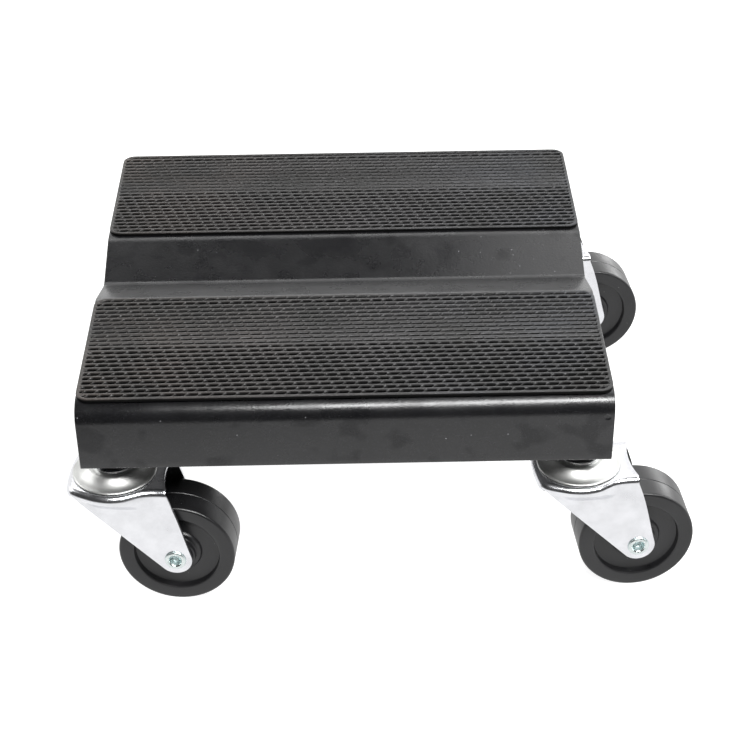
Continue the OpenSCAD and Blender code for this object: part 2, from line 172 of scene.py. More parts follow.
def studio_world():
    """White towards the rear, dark on the camera's side and dark straight overhead."""
    world = bpy.data.worlds.new("studio")
    world.use_nodes = True
    tree = world.node_tree
    new, link = tree.nodes.new, tree.links.new
    where = new("ShaderNodeTexCoord")
    parts = new("ShaderNodeSeparateXYZ")
    link(where.outputs["Generated"], parts.inputs[0])

    def ramp(value, numbers, kind="SMOOTHSTEP"):
        node = new("ShaderNodeMapRange")
        node.interpolation_type = kind
        for name, number in zip(RAMP, numbers):
            node.inputs[name].default_value = number
        link(value, node.inputs["Value"])
        return node.outputs[0]

    both = new("ShaderNodeMath")
    both.operation = "MULTIPLY"
    link(ramp(parts.outputs["Y"], WORLD_REAR), both.inputs[0])
    link(ramp(parts.outputs["Z"], WORLD_HIGH), both.inputs[1])
    strength = ramp(both.outputs[0], WORLD_STRENGTH, "LINEAR")
    link(strength, tree.nodes["Background"].inputs["Strength"])
    tree.nodes["Background"].inputs["Color"].default_value = (1, 1, 1, 1)
    bpy.context.scene.world = world


floor()
studio_world()
lamp("front_box", (0.41, -0.86, 1.33), (0.06, 0, 0.1), 1.34, 38, 0.28)
lamp("top_box", (0.72, 0.5, 1.5), (0.12, 0, 0.1), 0.8, 3.6, 0.7)
lamp("rear_strip", (0.1, 2.4, 0.7), (0, 0, 0.1), 2.8, 7, 0.4)
lamp("high_strip", (0.0, 1.25, 1.6), (0, 0, 0.1), 2.0, 6, 0.3)
lamp("rear_right_box", (1.5, 2.1, 0.36), (0.1, 0, 0.04), 0.8, 8, 0.6)
lamp("left_box", (-1.5, 0.3, 1.0), (0, 0, 0.05), 0.9, 7)
lamp("right_box", (1.6, 0.2, 1.0), (0, 0, 0.05), 1.0, 12)
print("studio: floor, world and seven lamps")

# %% [markdown]
# ## Finishes
# Each finish is a small tree of nodes on Object coordinates, so its grain stays with the part
# when the part turns. A helper keeps the trees short to read: it makes a material, gives back
# its shader, and adds noise, ramps and bumps in one call each. Black paint is varied by only a
# little, since a shade too much would read as dirt. The rubber is painted black by its height in a
# pocket, and the zinc is painted dark where a piece's vertices are marked, both as painted shade.

# %% Material helper
COLOUR_A, COLOUR_B, COLOUR_OUT = 6, 7, 2


class Finish:
    """A procedural material and the few kinds of node that these finishes need."""

    def __init__(self, name, colour, roughness, metallic=0.0):
        self.material = bpy.data.materials.new(name)
        self.material.use_nodes = True
        self.tree = self.material.node_tree
        self.shader = self.tree.nodes["Principled BSDF"]
        self.shader.inputs["Base Color"].default_value = (*colour, 1)
        self.shader.inputs["Roughness"].default_value = roughness
        self.shader.inputs["Metallic"].default_value = metallic
        self.where = self.tree.nodes.new("ShaderNodeTexCoord").outputs["Object"]

    def link(self, output, node_input):
        self.tree.links.new(output, node_input)

    def scaled(self, scale):
        node = self.tree.nodes.new("ShaderNodeMapping")
        node.inputs["Scale"].default_value = scale
        self.link(self.where, node.inputs["Vector"])
        return node.outputs[0]

    def noise(self, size, detail=3.0, roughness=0.55):
        """Noise whose blobs are about size metres across."""
        node = self.tree.nodes.new("ShaderNodeTexNoise")
        node.inputs["Scale"].default_value = 1.0
        node.inputs["Detail"].default_value = detail
        node.inputs["Roughness"].default_value = roughness
        self.link(self.scaled((1 / size,) * 3), node.inputs["Vector"])
        return node.outputs["Fac"]

    def specks(self, spacing, radius):
        """1 inside small round specks, one to a cell, and 0 between them."""
        node = self.tree.nodes.new("ShaderNodeTexVoronoi")
        node.inputs["Scale"].default_value = 1.0
        self.link(self.scaled((1 / spacing,) * 3), node.inputs["Vector"])
        return self.span(node.outputs["Distance"], radius, radius * 0.5, 0, 1)

    def spot(self, centre, radius):
        """1 at a place on the part, falling to 0 at a radius from it."""
        node = self.tree.nodes.new("ShaderNodeVectorMath")
        node.operation = "DISTANCE"
        node.inputs[1].default_value = centre
        self.link(self.where, node.inputs[0])
        return self.span(node.outputs["Value"], radius, radius * 0.4, 0, 1)

    def along(self, axis):
        """The distance along X, Y or Z in the part's own frame, in metres."""
        node = self.tree.nodes.new("ShaderNodeSeparateXYZ")
        self.link(self.where, node.inputs[0])
        return node.outputs[axis]

    def mark(self, name):
        """A value from 0 to 1 that was written on the vertices of the piece."""
        node = self.tree.nodes.new("ShaderNodeAttribute")
        node.attribute_name = name
        return node.outputs["Fac"]

    def span(self, value, low, high, to_low, to_high):
        """The value moved from the range low to high into the range to_low to to_high."""
        node = self.tree.nodes.new("ShaderNodeMapRange")
        for name, number in zip(RAMP, (low, high, to_low, to_high)):
            node.inputs[name].default_value = number
        self.link(value, node.inputs["Value"])
        return node.outputs[0]

    def sum(self, operation, a, b):
        """A sum of two values, each of them a number or a node's output."""
        node = self.tree.nodes.new("ShaderNodeMath")
        node.operation = operation
        for slot, value in zip(node.inputs, (a, b)):
            if isinstance(value, (int, float)):
                slot.default_value = value
            else:
                self.link(value, slot)
        return node.outputs[0]

    def mix(self, factor, a, b):
        """Colour a where factor is 0 and colour b where it is 1."""
        node = self.tree.nodes.new("ShaderNodeMix")
        node.data_type = "RGBA"
        for slot, value in zip((node.inputs[COLOUR_A], node.inputs[COLOUR_B]), (a, b)):
            if isinstance(value, tuple):
                slot.default_value = (*value, 1)
            else:
                self.link(value, slot)
        self.link(factor, node.inputs[0])
        return node.outputs[COLOUR_OUT]

    def colour(self, value):
        self.link(value, self.shader.inputs["Base Color"])

    def rough(self, value):
        self.link(value, self.shader.inputs["Roughness"])

    def shine(self, value):
        self.link(value, self.shader.inputs["Specular IOR Level"])

    def bump(self, height, depth):
        """Raises the surface by depth metres where height is 1; calls add up."""
        node = self.tree.nodes.new("ShaderNodeBump")
        node.inputs["Distance"].default_value = depth
        self.link(height, node.inputs["Height"])
        before = self.shader.inputs["Normal"]
        if before.is_linked:
            self.link(before.links[0].from_socket, node.inputs["Normal"])
        self.link(node.outputs[0], self.shader.inputs["Normal"])


# %% [markdown]
# ## Powder coat
# The deck and its rails are black powder, sprayed on dry and baked until it flows. It sets with
# a fine ripple, is a little cloudy, takes finger marks that dull its shine, and holds dust. A
# flat black would look like plastic, so each of these is one faint layer of noise in the colour,
# the shine or the roughness. One small dent in the front skirt is a bump as well, because it is
# too shallow to be worth geometry.

# %% Powder coat
DECK_BLACK, RAIL_BLACK = (0.0042, 0.0042, 0.0048), (0.0045, 0.0045, 0.005)
COAT_GRAIN, COAT_DUST = (0.02, 0.02, 0.023), (0.16, 0.16, 0.17)
CLOUD_SIZE, SMUDGE_SIZE, FINGER_SIZE, GRAIN_SIZE, RIPPLE_SIZE = 0.05, 0.018, 0.016, 0.0007, 0.0014
RIPPLE_DEPTH, COAT_IOR = 0.00007, 1.56
DIMPLE, DIMPLE_R, DIMPLE_DEPTH = (0.1143, -0.1375, 0.1232), 0.0019, 0.0005
FINISHES = {}


def powder_coat(name, colour):
    """Baked black powder: clouded, lightly fingered, dusted, with one small dent in a skirt."""
    finish = Finish(name, colour, 0.3)
    cloud = finish.noise(CLOUD_SIZE, 4)
    smudge = finish.noise(SMUDGE_SIZE, 3)
    fingers = finish.noise(FINGER_SIZE, 2, 0.4)
    grain = finish.noise(GRAIN_SIZE, 2, 0.7)
    dust = finish.specks(0.009, 0.05)
    lighter = tuple(c * 1.35 for c in colour)
    coat = finish.mix(finish.span(cloud, 0.35, 0.7, 0, 1), colour, lighter)
    coat = finish.mix(finish.span(grain, 0.56, 0.76, 0, 1), coat, COAT_GRAIN)
    finish.colour(finish.mix(dust, coat, COAT_DUST))
    finish.shader.inputs["IOR"].default_value = COAT_IOR
    finish.rough(finish.span(smudge, 0.3, 0.75, 0.24, 0.34))
    finish.shine(finish.span(fingers, 0.56, 0.66, 0.52, 0.38))
    finish.bump(finish.noise(RIPPLE_SIZE, 2), RIPPLE_DEPTH)
    finish.bump(finish.spot(DIMPLE, DIMPLE_R), -DIMPLE_DEPTH)
    return finish.material


FINISHES["deck_powder_coat"] = powder_coat("deck_powder_coat", DECK_BLACK)
FINISHES["rail_powder_coat"] = powder_coat("rail_powder_coat", RAIL_BLACK)
print("powder coats:", ", ".join(FINISHES))

# %% [markdown]
# ## Pad rubber
# The pads are black rubber. Use rubs their ribs grey, browner at one end than at the other, and
# grime sits on them in small patches. The pockets are painted near black as painted shade, and
# their shine is turned down, which is what makes the pattern show from afar. So the colour and
# the shine follow the height in the piece's own frame, and no mask has to be painted.

# %% Pad rubber
PAD_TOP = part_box("pad_front")[1][2]
PAD_WORN, PAD_DEEP = 0.0001, 0.0009
RUBBER, RUBBER_POCKET_SHADE = (0.016, 0.0155, 0.015), (0.003, 0.003, 0.003)
WORN_BROWN, WORN_BLUE, GRIME = (0.042, 0.034, 0.029), (0.030, 0.032, 0.038), (0.06, 0.055, 0.05)
BROWN_X, BLUE_X = -0.14, 0.1


def pad_rubber():
    """Grey where it is rubbed, with painted shade and little shine in the bottom of its pockets."""
    finish = Finish("pad_rubber", RUBBER, 0.55)
    worn = finish.noise(0.04, 4)
    grime = finish.noise(0.003, 3)
    side = finish.span(finish.along("X"), BROWN_X, BLUE_X, 0, 1)
    tint = finish.mix(side, WORN_BROWN, WORN_BLUE)
    face = finish.mix(finish.span(worn, 0.35, 0.7, 0, 1), RUBBER, tint)
    face = finish.mix(finish.span(grime, 0.5, 0.8, 0, 0.4), face, GRIME)
    deep = finish.span(finish.along("Z"), PAD_TOP - PAD_WORN, PAD_TOP - PAD_DEEP, 0, 1)
    # Painted shade: the colour darkens with depth into a pocket, and the shine falls with it.
    finish.colour(finish.mix(deep, face, RUBBER_POCKET_SHADE))
    finish.shine(finish.span(deep, 0, 1, 0.52, 0.04))
    finish.rough(finish.span(grime, 0.3, 0.7, 0.36, 0.56))
    finish.bump(finish.noise(0.0008, 2), 0.00006)
    return finish.material


FINISHES["pad_rubber"] = pad_rubber()
print(f"pad rubber: black below {PAD_TOP - PAD_DEEP:.4f} m")

# %% [markdown]
# ## Zinc plate
# Forks, cups and fasteners are zinc plated. Fresh zinc is a bright metal with a soft cloud in it
# where the crystals grew unevenly, so one noise moves both its tone and its roughness. Bearing
# balls, bushes and dark nuts use the same tree with another tone. Where a piece's vertices are
# marked for painted shade, as inside a fork, the tone falls to less than a tenth and the zinc is
# rougher.

# %% Zinc plate
ZINC_CLOUD, ZINC_FINE, ZINC_DARKER, ZINC_PAINTED_SHADE = 0.012, 0.0012, 0.86, 0.07


def zinc(name, tone, low, high):
    """Zinc plate: a bright metal with a soft cloudiness, painted dark where it is marked for painted
    shade.
    """
    finish = Finish(name, tone, low, metallic=1.0)
    cloud = finish.noise(ZINC_CLOUD, 4)
    fine = finish.noise(ZINC_FINE, 3)
    plate = finish.mix(finish.span(cloud, 0.35, 0.7, 0, 1), tone, tuple(c * ZINC_DARKER for c in tone))
    # Painted shade: where the vertices are marked, the tone falls to a small fraction of the zinc's.
    finish.colour(finish.mix(finish.mark("painted_shade"), plate, tuple(c * ZINC_PAINTED_SHADE for c in tone)))
    clouded = finish.sum("ADD", cloud, finish.sum("MULTIPLY", fine, 0.4))
    blotch = finish.span(clouded, 0.4, 1.0, low, high)
    finish.rough(finish.sum("ADD", blotch, finish.sum("MULTIPLY", finish.mark("painted_shade"), 0.3)))
    finish.bump(fine, 0.00001)
    return finish.material


for name, tone, low, high in (
    ("bright_zinc", (0.80, 0.805, 0.83), 0.17, 0.30),
    ("cup_zinc", (0.63, 0.635, 0.62), 0.36, 0.5),
    ("zinc_fasteners", (0.72, 0.73, 0.73), 0.22, 0.4),
    ("dark_nuts", (0.10, 0.10, 0.105), 0.3, 0.45),
    ("bearing_steel", (0.7, 0.7, 0.7), 0.1, 0.2),
    ("bush_steel", (0.5, 0.5, 0.5), 0.3, 0.4),
):
    FINISHES[name] = zinc(name, tone, low, high)
    print(f"{name}: roughness {low} to {high}")

# %% [markdown]
# ## Rivets and wheels
# The axle rivets are plated too, but a little greener, and the cup in each end and the edge of
# each flange are painted darker as painted shade. The wheels are a hard black moulding that shows
# faint flow marks and a few pale nibs. Both are small in view, so each gets one noise for its
# tone and its roughness together.

# %% Rivet steel and wheel rubber
RIVET_BRIGHT, RIVET_CLOUD, RIVET_PAINTED_SHADE = (0.72, 0.77, 0.76), (0.58, 0.64, 0.63), (0.60, 0.70, 0.70)
WHEEL_BLACK, WHEEL_DARK, WHEEL_LIGHT = (0.01, 0.01, 0.011), (0.006, 0.006, 0.0065), (0.012, 0.012, 0.013)
WHEEL_NIB = (0.22, 0.22, 0.22)


def rivet_steel():
    """Plated steel, with painted shade in a ring where the flange meets the leg and in its cup."""
    finish = Finish("rivet_zinc", RIVET_BRIGHT, 0.24, metallic=1.0)
    cloud = finish.noise(0.002, 3)
    plate = finish.mix(finish.span(cloud, 0.35, 0.7, 0, 1), RIVET_BRIGHT, RIVET_CLOUD)
    # Painted shade: where the vertices are marked, the colour turns darker and a little greener.
    finish.colour(finish.mix(finish.mark("painted_shade"), plate, RIVET_PAINTED_SHADE))
    shine = finish.span(cloud, 0.3, 0.7, 0.2, 0.34)
    finish.rough(finish.sum("ADD", shine, finish.sum("MULTIPLY", finish.mark("painted_shade"), 0.25)))
    return finish.material


def wheel_rubber():
    """Hard black moulding with soft flow marks and a few pale nibs."""
    finish = Finish("wheel_rubber", WHEEL_BLACK, 0.36)
    flow = finish.noise(0.02, 3)
    nib = finish.specks(0.006, 0.045)
    base = finish.mix(finish.span(flow, 0.3, 0.7, 0, 1), WHEEL_DARK, WHEEL_LIGHT)
    finish.colour(finish.mix(nib, base, WHEEL_NIB))
    finish.rough(finish.span(flow, 0.3, 0.7, 0.27, 0.42))
    finish.bump(finish.noise(0.0009, 3), 0.00004)
    return finish.material


FINISHES["rivet_zinc"] = rivet_steel()
FINISHES["wheel_rubber"] = wheel_rubber()
print("rivet and wheel finishes made")

# %% Finishes on the frame's own nodes
slot_of = {part["node"]: part["material_slot"] for part in frame["record"]["subparts"]}
for name, node in nodes.items():
    node.data.materials.clear()
    node.data.materials.append(FINISHES["cup_zinc" if "_cup_" in name else slot_of[name]])
print(f"{len(FINISHES)} finishes on {len(nodes)} nodes")

# %% [markdown]
# ## How the pieces are shaped
# The real dolly is made by four trades: sheet metal is cut, bent and pressed, steel is turned,
# and rubber is moulded. Three helpers follow them. `lathe` spins an outline about
# an axis, `extrude_outline` pushes a closed outline along X, and `patch` bends a grid into a
# pressed shape. `finish_piece` joins a piece to its body and names the node it stands for.

# %% Helpers for shaping
def chain(mesh, points, closed=False):
    """Vertices joined in a row by edges."""
    verts = [mesh.verts.new(point) for point in points]
    edges = [mesh.edges.new(pair) for pair in zip(verts, verts[1:])]
    if closed:
        edges.append(mesh.edges.new((verts[-1], verts[0])))
    return verts, edges


def lathe(mesh, outline, steps):
    """Spins an outline of [radius, height] in millimetres about Z."""
    verts, edges = chain(mesh, [(r * MM, 0, h * MM) for r, h in outline])
    bmesh.ops.spin(mesh, geom=verts + edges, cent=(0, 0, 0), axis=(0, 0, 1),
                   angle=2 * math.pi, steps=steps, use_merge=True)
    bmesh.ops.remove_doubles(mesh, verts=mesh.verts[:], dist=1e-6)


def extrude_outline(mesh, outline, start, length):
    """Pushes a closed outline of [y, z] in metres along X."""
    verts, edges = chain(mesh, [(start, y, z) for y, z in outline], closed=True)
    cap = bmesh.ops.contextual_create(mesh, geom=edges)["faces"]
    pushed = bmesh.ops.extrude_face_region(mesh, geom=cap)["geom"]
    moved = [part for part in pushed if isinstance(part, bmesh.types.BMVert)]
    bmesh.ops.translate(mesh, verts=moved, vec=(length, 0, 0))
    # the push can take the first cap with it, so that end is closed again
    if all(len(face.verts) < 5 or face.calc_center_median().x > start + 1e-6 for face in mesh.faces):
        bmesh.ops.contextual_create(mesh, geom=edges)


def patch(mesh, columns, rows, place):
    """A grid of columns by rows faces; place(i, j) gives each of its points in metres."""
    made = bmesh.ops.create_grid(mesh, x_segments=columns, y_segments=rows, size=1)["verts"]
    for vert in made:
        i = round((vert.co.x + 1) / 2 * columns)
        j = round((vert.co.y + 1) / 2 * rows)
        vert.co = place(i, j)
    return made


# %% Helpers for finishing a piece
def soften(mesh, width, segments=2, angle=50, skip=None):
    """Bevels every edge that is sharper than the angle, but none that skip picks out."""
    limit = math.radians(angle)
    sharp = [e for e in mesh.edges if len(e.link_faces) == 2 and e.calc_face_angle(0) > limit]
    if skip is not None:
        sharp = [edge for edge in sharp if not skip(edge)]
    bmesh.ops.bevel(mesh, geom=sharp, offset=width * MM, segments=segments, profile=0.5,
                    affect="EDGES", material=-1, clamp_overlap=True)


def finish_piece(name, mesh, slot, body, *stands_for, place=None, smooth=32, look=None):
    """Closes a piece: normals out, shading by angle, finish, body and the nodes it replaces."""
    if place is not None:
        bmesh.ops.transform(mesh, matrix=place, verts=mesh.verts[:])
    bmesh.ops.recalc_face_normals(mesh, faces=mesh.faces[:])
    if mesh.calc_volume(signed=True) < 0:
        bmesh.ops.reverse_faces(mesh, faces=mesh.faces[:])
    for face in mesh.faces:
        face.smooth = True
    data = bpy.data.meshes.new(name)
    mesh.to_mesh(data)
    faces, open_edges = len(mesh.faces), sum(e.is_boundary for e in mesh.edges)
    mesh.free()
    data.set_sharp_from_angle(angle=math.radians(smooth))
    data.materials.append(FINISHES[look or slot])
    obj = bpy.data.objects.new(name, data)
    bpy.context.scene.collection.objects.link(obj)
    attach(obj, body)
    if stands_for:
        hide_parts(*stands_for)
    if open_edges:
        print(f"  {name}: {open_edges} open edges")
    return faces


def arc(across, up, r, a0, a1, steps):
    """Points of an arc about [across, up], from angle a0 to a1 in degrees."""
    turns = [math.radians(a0 + (a1 - a0) * i / steps) for i in range(steps + 1)]
    return [(across + r * math.cos(a), up + r * math.sin(a)) for a in turns]


def ease(x):
    """0 below 0, 1 above 1, and a smooth rise between."""
    x = min(max(x, 0.0), 1.0)
    return x * x * (3 - 2 * x)


# %% [markdown]
# ## The deck
# The deck is one sheet of 3 mm steel, bent five times in a press brake: two skirts, and the
# two edges and the bottom of the V. The dies leave soft bends, so they are drawn here with
# many more flats than the CAD has. The shear drew the foot of each skirt in a little, and the
# cut edges get a small round, so both catch a thin line of light as painted steel does.

# %% Deck
SHEET = 3.0
SKIRT_H, SKIRT_R = 38.5, 11.0
CRADLE_HALF_W, CRADLE_DEPTH, CRADLE_EDGE_R, CRADLE_VALLEY_R = 33.0, 11.4, 20.0, 8.0
DRAW_H, DRAW_IN, DRAW_STEPS, DRAW_CURVE = 5.0, 0.45, 6, 2.5
SKIRT_FLATS, EDGE_FLATS, VALLEY_FLATS, SHEET_ROUND = 20, 8, 12, 0.45
deck_lo, deck_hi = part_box("deck_plate")
DECK_W = (deck_hi[0] - deck_lo[0]) / MM
DECK_D = (deck_hi[1] - deck_lo[1]) / MM
DECK_H = deck_hi[2] / MM
slope = math.degrees(math.atan(CRADLE_DEPTH / CRADLE_HALF_W))


def sheet_line(below):
    """A line of the bent sheet at a depth below its upper face, front to rear, in mm."""
    skirt_r, edge_r, valley_r = SKIRT_R - below, CRADLE_EDGE_R - below, CRADLE_VALLEY_R + below
    skirt_y, skirt_z = DECK_D / 2 - SKIRT_R, DECK_H - SKIRT_R
    edge_y = CRADLE_HALF_W + CRADLE_EDGE_R * math.tan(math.radians(slope / 2))
    edge_z = DECK_H - CRADLE_EDGE_R
    valley_z = DECK_H - CRADLE_DEPTH + CRADLE_VALLEY_R / math.cos(math.radians(slope))
    foot = DECK_H - SKIRT_H
    up = [i / DRAW_STEPS for i in range(DRAW_STEPS)]
    draw = [(DRAW_IN * (1 - share) ** DRAW_CURVE, foot + DRAW_H * share) for share in up]
    return (
        [(-DECK_D / 2 + below + inward, z) for inward, z in draw]
        + arc(-skirt_y, skirt_z, skirt_r, 180, 90, SKIRT_FLATS)
        + arc(-edge_y, edge_z, edge_r, 90, 90 - slope, EDGE_FLATS)
        + arc(0, valley_z, valley_r, 270 - slope, 270 + slope, VALLEY_FLATS)
        + arc(edge_y, edge_z, edge_r, 90 + slope, 90, EDGE_FLATS)
        + arc(skirt_y, skirt_z, skirt_r, 90, 0, SKIRT_FLATS)
        + [(DECK_D / 2 - below - inward, z) for inward, z in reversed(draw)]
    )


def deck():
    mesh = bmesh.new()
    outline = sheet_line(0) + sheet_line(SHEET)[::-1]
    extrude_outline(mesh, [(y * MM, z * MM) for y, z in outline], deck_lo[0], DECK_W * MM)
    soften(mesh, SHEET_ROUND, 3)
    return finish_piece("deck_sheet", mesh, "deck_powder_coat", "deck", "deck_plate")


print("deck sheet:", deck(), "faces")

# %% [markdown]
# ## The pads
# Each pad is moulded rubber, two millimetres thick and glued down. Straight ribs run along it,
# lower slanted ribs cross between them, and each row is set over from the last. The pockets
# between the ribs are real geometry: a fine grid is pushed down where a pocket lies, and its
# four corners are drawn in to the round of the pad.

# %% Pads
POCKET_PITCH, ROW_PITCH, ROW_SHIFT = 6.4, 3.95, 1.5
POCKET_HALF_W, POCKET_HALF_D, POCKET_DEPTH, POCKET_LEAN = 2.85, 1.2, 1.4, 0.75
CROSS_RIB_SINK = 0.22
PAD_RIM, PAD_CORNER = 1.5, 7.0
RIM_LINES, RIM_ROUND = (0.0, 0.12, 0.4, 0.9), 0.4
GRID_X, GRID_Y = 0.66, 0.49


def grid_lines(length, step):
    """Grid lines from 0 to length: close together at both edges, then a step apart."""
    inner = length - 2 * RIM_LINES[-1]
    count = round(inner / step)
    middle = [RIM_LINES[-1] + inner * i / count for i in range(1, count)]
    return list(RIM_LINES) + middle + [length - line for line in reversed(RIM_LINES)]


def pocket(x, y):
    """How far the face sinks at this place, from 0 on a rib to 1 in a pocket's bottom."""
    row = math.floor(y / ROW_PITCH)
    along = y - (row + 0.5) * ROW_PITCH
    shifted = x + row * ROW_SHIFT - along * POCKET_LEAN
    across = (shifted + POCKET_PITCH / 2) % POCKET_PITCH - POCKET_PITCH / 2
    groove = ease((1.2 - (along / POCKET_HALF_D) ** 4) / 0.8)
    between = ease((1.2 - (across / POCKET_HALF_W) ** 6) / 0.8)
    return groove * (CROSS_RIB_SINK + (1 - CROSS_RIB_SINK) * between)


def pad(side, node):
    lo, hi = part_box(node)
    width, depth = ((hi[axis] - lo[axis]) / MM for axis in (0, 1))
    lines_x, lines_y = grid_lines(width, GRID_X), grid_lines(depth, GRID_Y)

    def place(i, j):
        x, y = lines_x[i], lines_y[j]
        from_x, from_y = min(x, width - x), min(y, depth - y)
        if from_x < PAD_CORNER and from_y < PAD_CORNER:
            u, v = 1 - from_x / PAD_CORNER, 1 - from_y / PAD_CORNER
            round_x = PAD_CORNER * (1 - u * math.sqrt(1 - v * v / 2))
            round_y = PAD_CORNER * (1 - v * math.sqrt(1 - u * u / 2))
            from_edge = PAD_CORNER - math.hypot(PAD_CORNER - round_x, PAD_CORNER - round_y)
            x = round_x if x < width / 2 else width - round_x
            y = round_y if y < depth / 2 else depth - round_y
        else:
            from_edge = min(from_x, from_y)
        inside = ease((from_edge - PAD_RIM) / 0.5)
        sink = POCKET_DEPTH * pocket(x - width / 2, y - depth / 2) * inside
        if from_edge < RIM_ROUND:
            over = RIM_ROUND - from_edge
            sink += RIM_ROUND - math.sqrt(max(RIM_ROUND ** 2 - over ** 2, 0))
        return Vector((lo[0] + x * MM, lo[1] + y * MM, hi[2] - sink * MM))

    mesh = bmesh.new()
    patch(mesh, len(lines_x) - 1, len(lines_y) - 1, place)
    rim = [edge for edge in mesh.edges if edge.is_boundary]
    drawn = bmesh.ops.extrude_edge_only(mesh, edges=rim)["geom"]
    foot = [part for part in drawn if isinstance(part, bmesh.types.BMVert)]
    for vert in foot:
        vert.co.z = lo[2]
    bmesh.ops.contextual_create(mesh, geom=[edge for edge in mesh.edges if edge.is_boundary])
    return finish_piece(f"pad_{side}_rubber", mesh, "pad_rubber", "deck", node, smooth=60)


for side in ("front", "rear"):
    print(f"pad {side}:", pad(side, f"pad_{side}"), "faces")

# %% [markdown]
# ## The casters
# Four casters of one pattern stand under the corners, each with its own rest turn. The place
# and turn of each is read from the frame: its kingpin is the middle of its cup, and
# its trail points from there to the middle of its wheel.

# %% Caster places
CORNERS = ("front_left", "front_right", "rear_left", "rear_right")


def middle(node):
    lo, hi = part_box(node)
    return Vector([(a + b) / 2 for a, b in zip(lo, hi)])


class Caster:
    """One caster's kingpin and axle, as transforms from drawing space to the frame."""

    def __init__(self, corner):
        self.corner = corner
        kingpin, hub = middle(f"upper_cup_{corner}"), middle(f"wheel_{corner}")
        away = hub - kingpin
        self.turn = math.atan2(away.y, away.x)
        turned = Matrix.Rotation(self.turn, 4, "Z")
        self.kingpin = Matrix.Translation((kingpin.x, kingpin.y, 0)) @ turned
        self.axle = Matrix.Translation(hub) @ turned @ Matrix.Rotation(math.pi / 2, 4, "X")
        self.trail = math.hypot(away.x, away.y) / MM
        self.axle_z = hub.z / MM


casters = [Caster(corner) for corner in CORNERS]
RACE_GAP = 0.4
FORK_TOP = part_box("upper_cup_front_left")[0][2] / MM - RACE_GAP
print("casters:", ", ".join(f"{c.corner} {math.degrees(c.turn):.1f} deg" for c in casters))

# %% [markdown]
# ## The wheels
# A wheel is one moulding of hard black rubber. A raised flat ring runs round each side with a
# recess inside it, the hub stands up from the recess in two low steps, and a fine line round
# the middle of the tread shows where the two halves of the mould met. All of it is round, so
# one outline is drawn and spun about the axle, and nothing has to be bevelled afterwards.

# %% Wheels
WHEEL_R = (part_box("wheel_front_left")[1][2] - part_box("wheel_front_left")[0][2]) / 2 / MM - 0.002
WHEEL_HALF_W, TREAD_R, WHEEL_STEPS = 13.5, 1.6, 144
RING_R, WEB, STEP_R, STEP, HUB_R, HUB, BUSH_R = 23.5, 9.8, 13.0, 11.4, 10.0, 14.8, 6.0


def wheel(caster):
    hub = [(BUSH_R, HUB), (BUSH_R + 0.4, HUB), (HUB_R - 0.6, HUB), (HUB_R, HUB - 0.5),
           (HUB_R + 0.15, STEP + 0.5)]
    step = [(HUB_R + 0.6, STEP), (STEP_R - 0.5, STEP), (STEP_R, STEP - 0.4), (STEP_R + 0.5, WEB)]
    web = [(STEP_R + 5, WEB - 0.1), (RING_R - 1.3, WEB - 0.1), (RING_R - 0.8, WEB + 0.15),
           (RING_R - 0.6, WEB + 0.6)]
    ring = [(RING_R - 0.2, WHEEL_HALF_W - 0.5), (RING_R + 0.25, WHEEL_HALF_W - 0.12),
            (RING_R + 0.8, WHEEL_HALF_W)]
    half = (
        hub + step + web + ring
        + arc(WHEEL_R - TREAD_R, WHEEL_HALF_W - TREAD_R, TREAD_R, 90, 0, 10)
        + [(WHEEL_R, 0.35), (WHEEL_R - 0.12, 0.25), (WHEEL_R - 0.3, 0.06)]
    )
    other = [(r, -h) for r, h in reversed(half)]
    mesh = bmesh.new()
    lathe(mesh, half + other + [half[0]], WHEEL_STEPS)
    return finish_piece(f"wheel_{caster.corner}_moulding", mesh, "wheel_rubber",
                        f"roller_{caster.corner}", f"wheel_{caster.corner}", place=caster.axle)


print("wheels:", [wheel(caster) for caster in casters], "faces")

# %% [markdown]
# ## The forks
# A fork is pressed from one blank: a round crown for the ball race is raised in its top, and
# two legs are folded down from it. The crown is wider than the fork, so each leg swells out to
# meet it. A box with bevels would miss that swell, so the half fork is laid out as patches that
# share their edges: the top, its rolled edge, the short lip round the nose, and the leg, which
# narrows to a round tip at the axle. A hole is opened in it for the rivet. Then the half is
# mirrored and thickened like the sheet it is. The vertices of its inner face and of the underside
# of its top are marked for painted shade, which paints them dark as the shade inside a fork and
# the black wheel it reflects would.

# %% Fork plan
FORK_T, FORK_HALF_W, FORK_ROLL, LIP = 2.1, 18.3, 3.4, 1.0
SWELL_H, TIP_R, RACE_R = 10.0, 9.0, 10.0
PLAN = ((-24.8, 0), (-24.7, 5), (-24.3, 10), (-23.5, 14.4), (-21.6, 17.7), (-18.4, 19.8),
        (-13.5, 21.9), (-7.5, 24.0), (0, 25.0), (7.5, 24.0), (12.5, 21.8), (16.5, 19.7),
        (20.5, 18.6), (24.7, 18.3), (29.4, 18.3))
NOSE_POINTS, SUBSTEPS = 4, 4
TAIL_MIDDLE_X, TAIL_COLUMNS, TAIL_BOW = 27.2, 8, 1.3
TOP_ROWS, ROLL_ROWS, SWELL_ROWS, LEG_ROWS = 5, 7, 10, 16
BORE_R, FORK_ROUND = 4.4, 0.3


